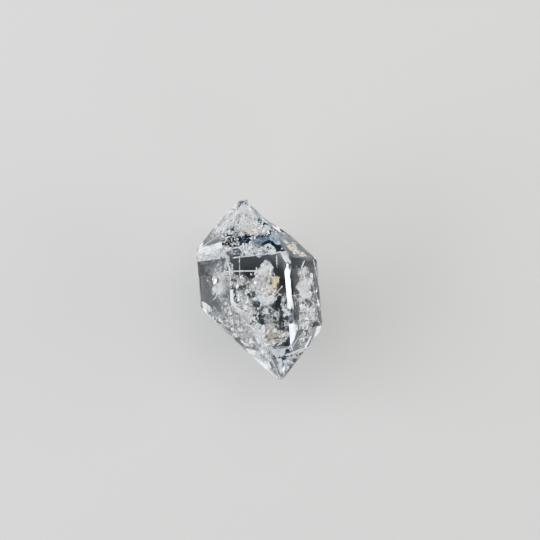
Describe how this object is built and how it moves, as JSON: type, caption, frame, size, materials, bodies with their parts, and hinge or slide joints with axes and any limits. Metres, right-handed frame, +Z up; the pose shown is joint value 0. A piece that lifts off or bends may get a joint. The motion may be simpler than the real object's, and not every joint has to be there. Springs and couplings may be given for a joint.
{
  "type": "herkimer diamond",
  "caption": "Clear doubly terminated quartz crystal, short six-sided prism with a pointed end each way, lying on one prism face.",
  "frame": {"origin": "bottom centre of the bounding box, on the resting surface", "axes": "+Y along the crystal's long c axis towards its broken point, +Z up out of the resting prism face, +X to the right"},
  "size_m": [0.0132, 0.02, 0.0114],
  "materials": {
    "clear_quartz": "natural glassy crystal faces, clear and colourless, with inner veils and a small ochre stain"
  },
  "bodies": {
    "root": {"crystal": "clear_quartz"}
  },
  "joints": []
}
